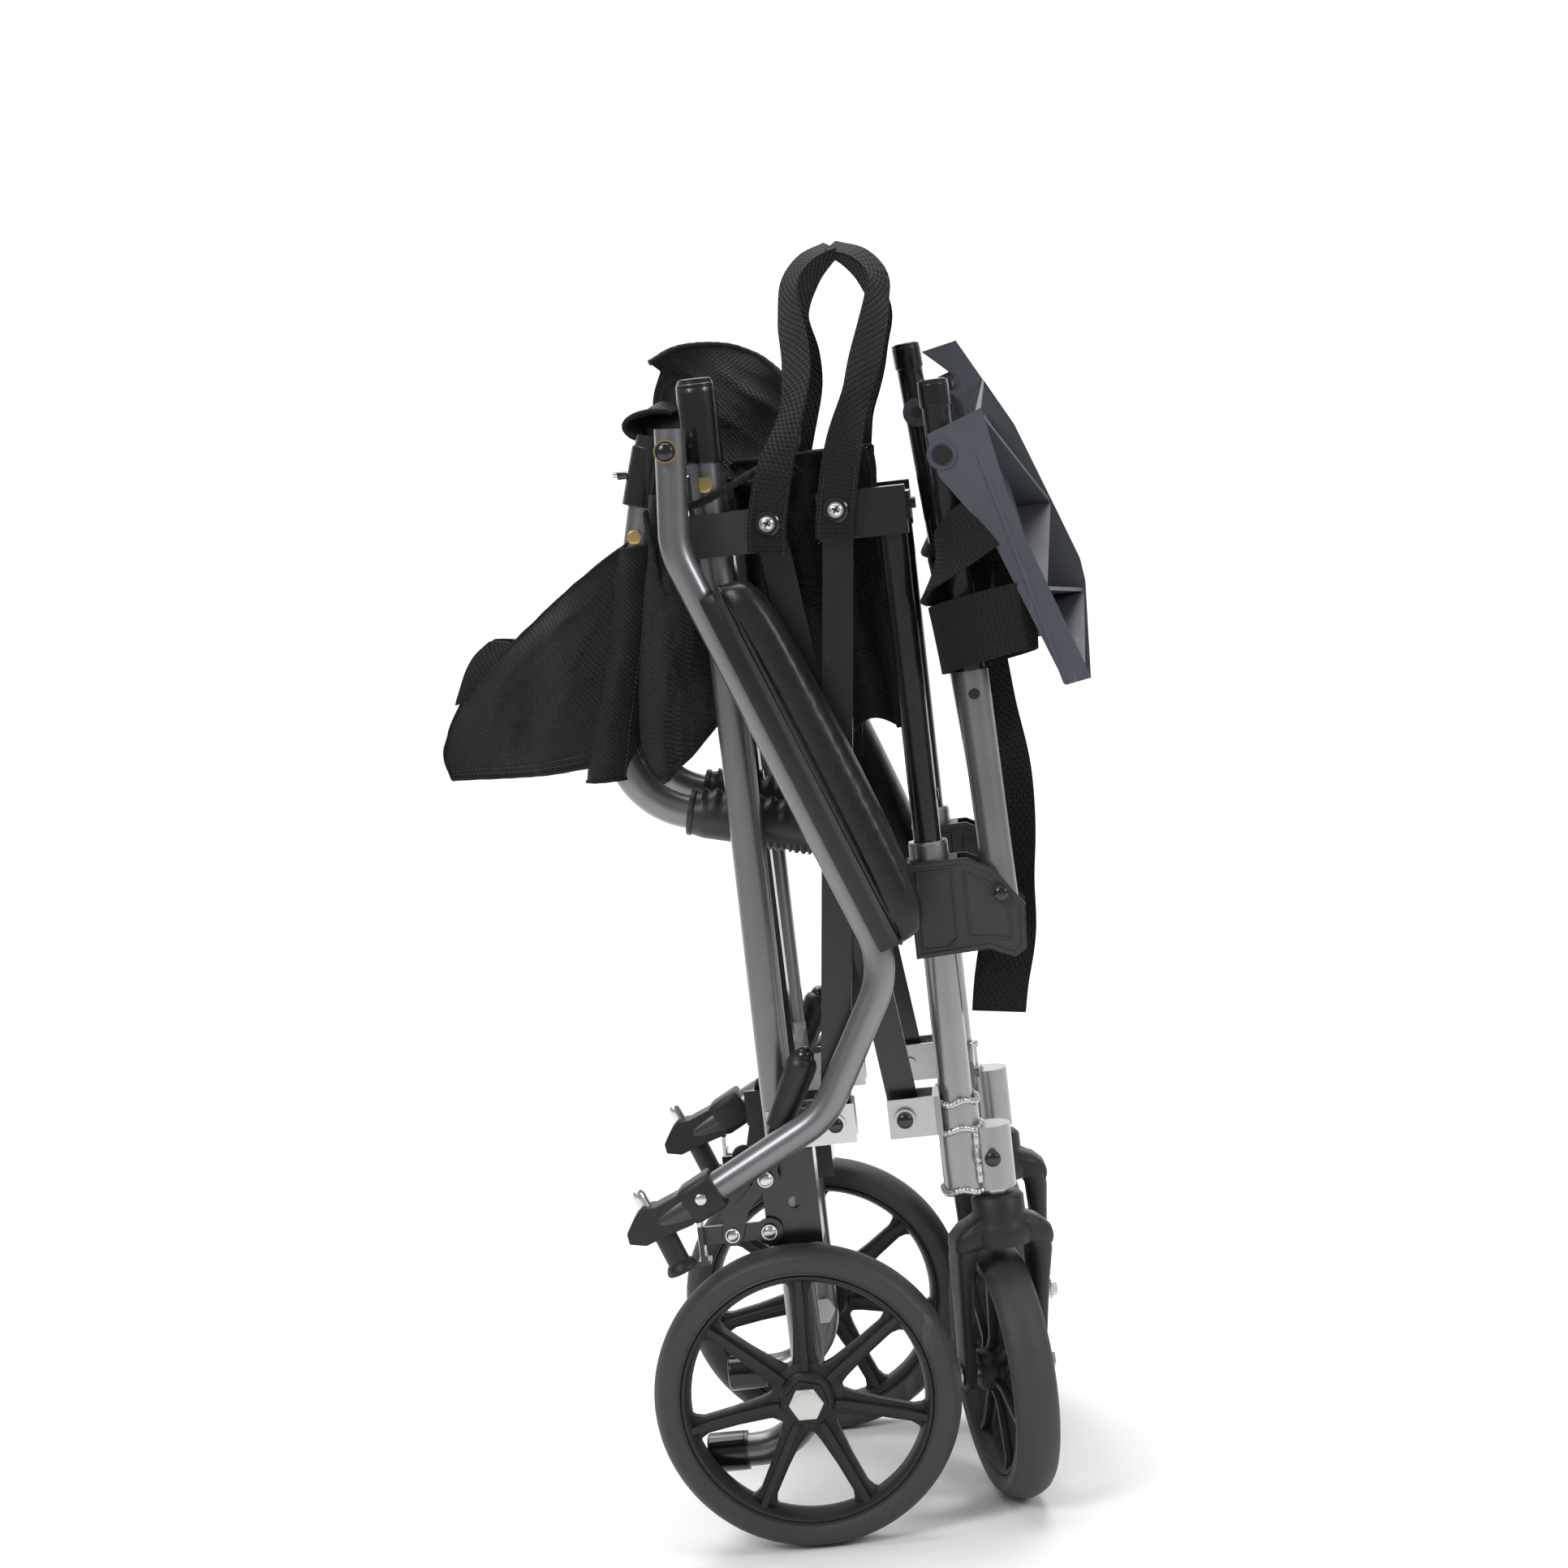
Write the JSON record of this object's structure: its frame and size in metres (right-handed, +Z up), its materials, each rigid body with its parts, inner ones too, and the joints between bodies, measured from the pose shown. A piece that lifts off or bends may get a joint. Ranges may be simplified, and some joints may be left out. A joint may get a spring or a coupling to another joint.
{
  "type": "transport wheelchair",
  "caption": "Folding transport wheelchair, folded: crossed-link tube frame, padded swing arms, push handles, footrests, casters and fabric seat.",
  "frame": {"origin": "on the floor under the centre of the folded chair's box", "axes": "+X is the way the chair faces, +Y is the rider's left, +Z is up"},
  "size_m": [0.4344, 0.3725, 0.8317],
  "materials": {
    "pewter_tube": "pewter silver metallic paint, semi-gloss",
    "zinc": "bright zinc plate",
    "black_steel": "gloss black powder coat",
    "black_plastic": "moulded, fine texture",
    "tyre": "matt grey rubber",
    "grip": "black moulded grip",
    "vinyl": "black vinyl, slight sheen",
    "footplate": "blue-grey moulded plastic",
    "webbing": "black polypropylene webbing",
    "nylon": "black ballistic nylon"
  },
  "bodies": {
    "rear_post_r": {"rear_post_r": "pewter_tube", "post_hardware_r": "zinc", "brake_housing_r": "black_steel"},
    "rear_post_l": {"rear_post_l": "pewter_tube", "post_hardware_l": "zinc", "brake_housing_l": "black_steel"},
    "front_leg_r": {"front_leg_r": "pewter_tube", "footrest_bracket_r": "black_plastic"},
    "rear_wheel_r": {"rear_wheel_r": "black_plastic", "rear_tyre_r": "tyre"},
    "arm_r": {"arm_frame_r": "pewter_tube", "arm_pad_r": "vinyl"},
    "cane_r": {"cane_r": "pewter_tube", "cane_grip_r": "grip"},
    "front_leg_l": {"front_leg_l": "pewter_tube", "footrest_bracket_l": "black_plastic"},
    "rear_wheel_l": {"rear_wheel_l": "black_plastic", "rear_tyre_l": "tyre"},
    "arm_l": {"arm_frame_l": "pewter_tube", "arm_pad_l": "vinyl"},
    "cane_l": {"cane_l": "pewter_tube", "cane_grip_l": "grip"},
    "brake_lever_r": {"brake_lever_r": "grip"},
    "brake_lever_l": {"brake_lever_l": "grip"},
    "brake_shoe_r": {"brake_shoe_r": "black_steel"},
    "brake_shoe_l": {"brake_shoe_l": "black_steel"},
    "rear_block_r": {"rear_block_r": "black_plastic"},
    "rear_block_l": {"rear_block_l": "black_plastic"},
    "side_link_a_r": {"side_link_a_r": "black_steel"},
    "side_link_a_l": {"side_link_a_l": "black_steel"},
    "side_link_b_r": {"side_link_b_r": "black_steel"},
    "side_link_b_l": {"side_link_b_l": "black_steel"},
    "rear_link_a": {"rear_link_a": "black_steel"},
    "rear_link_b": {"rear_link_b": "black_steel"},
    "front_link_a": {"front_link_a": "black_steel"},
    "front_link_b": {"front_link_b": "black_steel"},
    "front_slide_r": {"front_slide_r": "black_steel"},
    "front_slide_l": {"front_slide_l": "black_steel"},
    "caster_fork_r": {"caster_fork_r": "black_plastic"},
    "caster_fork_l": {"caster_fork_l": "black_plastic"},
    "caster_wheel_r": {"caster_wheel_r": "black_plastic"},
    "caster_wheel_l": {"caster_wheel_l": "black_plastic"},
    "arm_pin_r": {"arm_pin_r": "grip"},
    "arm_pin_l": {"arm_pin_l": "grip"},
    "hanger_r": {"hanger_r": "pewter_tube"},
    "hanger_l": {"hanger_l": "pewter_tube"},
    "footplate_r": {"footplate_r": "footplate"},
    "footplate_l": {"footplate_l": "footplate"},
    "seat_r_rear": {"seat_r_rear": "nylon"},
    "seat_r_front": {"seat_r_front": "nylon"},
    "seat_l_rear": {"seat_l_rear": "nylon"},
    "seat_l_front": {"seat_l_front": "nylon"},
    "back_panel_r": {"back_panel_r": "nylon"},
    "back_panel_l": {"back_panel_l": "nylon"},
    "strap_r_rear": {"strap_r_rear": "webbing"},
    "strap_r_front": {"strap_r_front": "webbing"},
    "strap_l_rear": {"strap_l_rear": "webbing"},
    "strap_l_front": {"strap_l_front": "webbing"},
    "calf_strap": {"calf_strap": "webbing"}
  },
  "joints": [
    {"name": "fold", "type": "hinge", "parent": "rear_post_r", "child": "side_link_b_r", "pos_m": [0.0157, -0.1213, 0.275], "axis": [0, 1, 0], "range_deg": [0, 52]},
    {"name": "side_link_a_r_hinge", "type": "hinge", "parent": "side_link_b_r", "child": "side_link_a_r", "pos_m": [0.0387, -0.1213, 0.4735], "axis": [0, 1, 0], "range_deg": [-104, 0]},
    {"name": "rear_block_r_hinge", "type": "hinge", "parent": "side_link_a_r", "child": "rear_block_r", "pos_m": [0.0157, -0.1213, 0.672], "axis": [0, 1, 0], "range_deg": [0, 52]},
    {"name": "front_leg_r_hinge", "type": "hinge", "parent": "side_link_a_r", "child": "front_leg_r", "pos_m": [0.0617, -0.1213, 0.275], "axis": [0, 1, 0], "range_deg": [0, 52]},
    {"name": "front_slide_r_hinge", "type": "hinge", "parent": "side_link_b_r", "child": "front_slide_r", "pos_m": [0.0617, -0.1213, 0.672], "axis": [0, 1, 0], "range_deg": [-52, 0]},
    {"name": "rear_link_b_hinge", "type": "hinge", "parent": "rear_post_r", "child": "rear_link_b", "pos_m": [-0.0213, -0.0523, 0.3], "axis": [-1, 0, 0], "range_deg": [0, 52]},
    {"name": "rear_link_a_hinge", "type": "hinge", "parent": "rear_link_b", "child": "rear_link_a", "pos_m": [-0.0213, -0.0293, 0.4985], "axis": [-1, 0, 0], "range_deg": [-104, 0]},
    {"name": "rear_post_l_hinge", "type": "hinge", "parent": "rear_link_a", "child": "rear_post_l", "pos_m": [-0.0213, -0.0063, 0.3], "axis": [-1, 0, 0], "range_deg": [0, 52]},
    {"name": "rear_block_l_hinge", "type": "hinge", "parent": "rear_link_b", "child": "rear_block_l", "pos_m": [-0.0213, -0.0063, 0.697], "axis": [-1, 0, 0], "range_deg": [-52, 0]},
    {"name": "side_link_b_l_hinge", "type": "hinge", "parent": "rear_post_l", "child": "side_link_b_l", "pos_m": [0.0157, 0.0627, 0.275], "axis": [0, 1, 0], "range_deg": [0, 52]},
    {"name": "side_link_a_l_hinge", "type": "hinge", "parent": "side_link_b_l", "child": "side_link_a_l", "pos_m": [0.0387, 0.0627, 0.4735], "axis": [0, 1, 0], "range_deg": [-104, 0]},
    {"name": "front_leg_l_hinge", "type": "hinge", "parent": "side_link_a_l", "child": "front_leg_l", "pos_m": [0.0617, 0.0627, 0.275], "axis": [0, 1, 0], "range_deg": [0, 52]},
    {"name": "front_slide_l_hinge", "type": "hinge", "parent": "side_link_b_l", "child": "front_slide_l", "pos_m": [0.0617, 0.0627, 0.672], "axis": [0, 1, 0], "range_deg": [-52, 0]},
    {"name": "front_link_b_hinge", "type": "hinge", "parent": "front_leg_r", "child": "front_link_b", "pos_m": [0.0957, -0.0523, 0.275], "axis": [-1, 0, 0], "range_deg": [0, 52]},
    {"name": "front_link_a_hinge", "type": "hinge", "parent": "front_link_b", "child": "front_link_a", "pos_m": [0.0957, -0.0293, 0.4735], "axis": [-1, 0, 0], "range_deg": [-104, 0]},
    {"name": "rear_wheel_r_spin", "type": "hinge", "parent": "rear_post_r", "child": "rear_wheel_r", "pos_m": [-0.0213, -0.1533, 0.1015], "axis": [0, 1, 0], "continuous": true},
    {"name": "caster_r_swivel", "type": "hinge", "parent": "front_leg_r", "child": "caster_fork_r", "pos_m": [0.1157, -0.1213, 0.2], "axis": [0, 0, 1], "range_deg": [-10, 10]},
    {"name": "caster_r_spin", "type": "hinge", "parent": "caster_fork_r", "child": "caster_wheel_r", "pos_m": [0.10664, -0.08749, 0.089], "axis": [0.9659, 0.2588, 0], "continuous": true},
    {"name": "arm_r_hinge", "type": "hinge", "parent": "rear_post_r", "child": "arm_r", "pos_m": [-0.0403, -0.1603, 0.724], "axis": [0, -1, 0], "range_deg": [0, 70]},
    {"name": "arm_pin_r_slide", "type": "slide", "parent": "arm_r", "child": "arm_pin_r", "axis": [0.4153, 0, -0.9097], "range_m": [0, 0.008], "stiffness_N_per_m": 400},
    {"name": "brake_lever_r_hinge", "type": "hinge", "parent": "rear_post_r", "child": "brake_lever_r", "pos_m": [-0.0333, -0.1408, 0.246], "axis": [0, 1, 0], "range_deg": [0, 30]},
    {"name": "brake_shoe_r_hinge", "type": "hinge", "parent": "rear_post_r", "child": "brake_shoe_r", "pos_m": [-0.0353, -0.1363, 0.209], "axis": [0, -1, 0], "range_deg": [0, 6]},
    {"name": "cane_r_hinge", "type": "hinge", "parent": "rear_post_r", "child": "cane_r", "pos_m": [-0.0403, -0.0913, 0.724], "axis": [0, 1, 0], "range_deg": [0, 167]},
    {"name": "hanger_r_hinge", "type": "hinge", "parent": "front_leg_r", "child": "hanger_r", "pos_m": [0.1397, -0.1213, 0.417], "axis": [0, 1, 0], "range_deg": [0, 140]},
    {"name": "footplate_r_hinge", "type": "hinge", "parent": "hanger_r", "child": "footplate_r", "pos_m": [0.13224, -0.1213, 0.7019], "axis": [0, -1, 0], "range_deg": [0, 28]},
    {"name": "rear_wheel_l_spin", "type": "hinge", "parent": "rear_post_l", "child": "rear_wheel_l", "pos_m": [-0.0213, 0.0947, 0.1015], "axis": [0, 1, 0], "continuous": true},
    {"name": "caster_l_swivel", "type": "hinge", "parent": "front_leg_l", "child": "caster_fork_l", "pos_m": [0.1157, 0.0627, 0.2], "axis": [0, 0, 1], "range_deg": [-10, 3]},
    {"name": "caster_l_spin", "type": "hinge", "parent": "caster_fork_l", "child": "caster_wheel_l", "pos_m": [0.11265, 0.09757, 0.089], "axis": [0.9962, 0.0872, 0], "continuous": true},
    {"name": "arm_l_hinge", "type": "hinge", "parent": "rear_post_l", "child": "arm_l", "pos_m": [-0.0403, 0.1017, 0.724], "axis": [0, -1, 0], "range_deg": [0, 70]},
    {"name": "arm_pin_l_slide", "type": "slide", "parent": "arm_l", "child": "arm_pin_l", "axis": [0.4153, 0, -0.9097], "range_m": [0, 0.008], "stiffness_N_per_m": 400},
    {"name": "brake_lever_l_hinge", "type": "hinge", "parent": "rear_post_l", "child": "brake_lever_l", "pos_m": [-0.0333, 0.0822, 0.246], "axis": [0, 1, 0], "range_deg": [0, 30]},
    {"name": "brake_shoe_l_hinge", "type": "hinge", "parent": "rear_post_l", "child": "brake_shoe_l", "pos_m": [-0.0353, 0.0777, 0.209], "axis": [0, -1, 0], "range_deg": [0, 6]},
    {"name": "cane_l_hinge", "type": "hinge", "parent": "rear_post_l", "child": "cane_l", "pos_m": [-0.0403, 0.0327, 0.724], "axis": [0, 1, 0], "range_deg": [0, 167]},
    {"name": "hanger_l_hinge", "type": "hinge", "parent": "front_leg_l", "child": "hanger_l", "pos_m": [0.1397, 0.0627, 0.417], "axis": [0, 1, 0], "range_deg": [0, 140]},
    {"name": "footplate_l_hinge", "type": "hinge", "parent": "hanger_l", "child": "footplate_l", "pos_m": [0.11663, 0.0627, 0.73115], "axis": [0, -1, 0], "range_deg": [0, 28]},
    {"name": "seat_r_rear_hinge", "type": "hinge", "parent": "rear_block_r", "child": "seat_r_rear", "pos_m": [0.0187, -0.0993, 0.712], "axis": [1, 0, 0], "range_deg": [0, 71.36], "deforming": ["seat_r_rear"]},
    {"name": "seat_r_front_slide", "type": "slide", "parent": "seat_r_rear", "child": "seat_r_front", "axis": [1, 0, 0], "range_m": [0, 0.29516], "deforming": ["seat_r_front"]},
    {"name": "seat_l_rear_hinge", "type": "hinge", "parent": "seat_r_rear", "child": "seat_l_rear", "pos_m": [0.0187, -0.0293, 0.508], "axis": [1, 0, 0], "range_deg": [-142.73, 0], "deforming": ["seat_l_rear"]},
    {"name": "seat_l_front_slide", "type": "slide", "parent": "seat_l_rear", "child": "seat_l_front", "axis": [1, 0, 0], "range_m": [0, 0.29516], "deforming": ["seat_l_front"]},
    {"name": "back_panel_r_slide", "type": "slide", "parent": "cane_r", "child": "back_panel_r", "axis": [0.5351, 0.8448, 0], "range_m": [0, 0.17755], "deforming": ["back_panel_r"]},
    {"name": "strap_r_rear_slide", "type": "slide", "parent": "rear_block_r", "child": "strap_r_rear", "axis": [0.6899, 0, -0.724], "range_m": [0, 0.19062], "deforming": ["strap_r_rear"]},
    {"name": "strap_r_front_slide", "type": "slide", "parent": "front_slide_r", "child": "strap_r_front", "axis": [-0.7646, 0, -0.6445], "range_m": [0, 0.21411], "deforming": ["strap_r_front"]},
    {"name": "back_panel_l_slide", "type": "slide", "parent": "cane_l", "child": "back_panel_l", "axis": [0.5351, -0.8448, 0], "range_m": [0, 0.17755], "deforming": ["back_panel_l"]},
    {"name": "strap_l_rear_slide", "type": "slide", "parent": "rear_block_l", "child": "strap_l_rear", "axis": [0.6899, 0, -0.724], "range_m": [0, 0.19062], "deforming": ["strap_l_rear"]},
    {"name": "strap_l_front_slide", "type": "slide", "parent": "front_slide_l", "child": "strap_l_front", "axis": [-0.7646, 0, -0.6445], "range_m": [0, 0.21411], "deforming": ["strap_l_front"]},
    {"name": "calf_strap_slide", "type": "slide", "parent": "hanger_r", "child": "calf_strap", "axis": [0, 1, 0], "range_m": [0, 0.29516], "deforming": ["calf_strap"]}
  ],
  "couplings": [
    {"joint": "side_link_a_r_hinge", "follows": "fold", "ratio": -2},
    {"joint": "rear_block_r_hinge", "follows": "fold", "ratio": 1},
    {"joint": "front_leg_r_hinge", "follows": "fold", "ratio": 1},
    {"joint": "front_slide_r_hinge", "follows": "fold", "ratio": -1},
    {"joint": "rear_link_b_hinge", "follows": "fold", "ratio": 1},
    {"joint": "rear_link_a_hinge", "follows": "fold", "ratio": -2},
    {"joint": "rear_post_l_hinge", "follows": "fold", "ratio": 1},
    {"joint": "rear_block_l_hinge", "follows": "fold", "ratio": -1},
    {"joint": "side_link_b_l_hinge", "follows": "fold", "ratio": 1},
    {"joint": "side_link_a_l_hinge", "follows": "fold", "ratio": -2},
    {"joint": "front_leg_l_hinge", "follows": "fold", "ratio": 1},
    {"joint": "front_slide_l_hinge", "follows": "fold", "ratio": -1},
    {"joint": "front_link_b_hinge", "follows": "fold", "ratio": 1},
    {"joint": "front_link_a_hinge", "follows": "fold", "ratio": -2},
    {"joint": "brake_shoe_r_hinge", "follows": "brake_lever_r_hinge", "ratio": 0.2},
    {"joint": "brake_shoe_l_hinge", "follows": "brake_lever_l_hinge", "ratio": 0.2},
    {"joint": "cane_l_hinge", "follows": "cane_r_hinge", "ratio": 1},
    {"joint": "hanger_l_hinge", "follows": "hanger_r_hinge", "ratio": 1},
    {"joint": "seat_r_rear_hinge", "follows": "fold", "ratio": 1.3724},
    {"joint": "seat_r_front_slide", "follows": "fold", "m_per_rad": 0.32522},
    {"joint": "seat_l_rear_hinge", "follows": "fold", "ratio": -2.7447},
    {"joint": "seat_l_front_slide", "follows": "fold", "m_per_rad": 0.32522},
    {"joint": "back_panel_r_slide", "follows": "fold", "m_per_rad": 0.19564},
    {"joint": "strap_r_rear_slide", "follows": "fold", "m_per_rad": 0.21003},
    {"joint": "strap_r_front_slide", "follows": "fold", "m_per_rad": 0.23591},
    {"joint": "back_panel_l_slide", "follows": "fold", "m_per_rad": 0.19564},
    {"joint": "strap_l_rear_slide", "follows": "fold", "m_per_rad": 0.21003},
    {"joint": "strap_l_front_slide", "follows": "fold", "m_per_rad": 0.23591},
    {"joint": "calf_strap_slide", "follows": "fold", "m_per_rad": 0.32522}
  ]
}
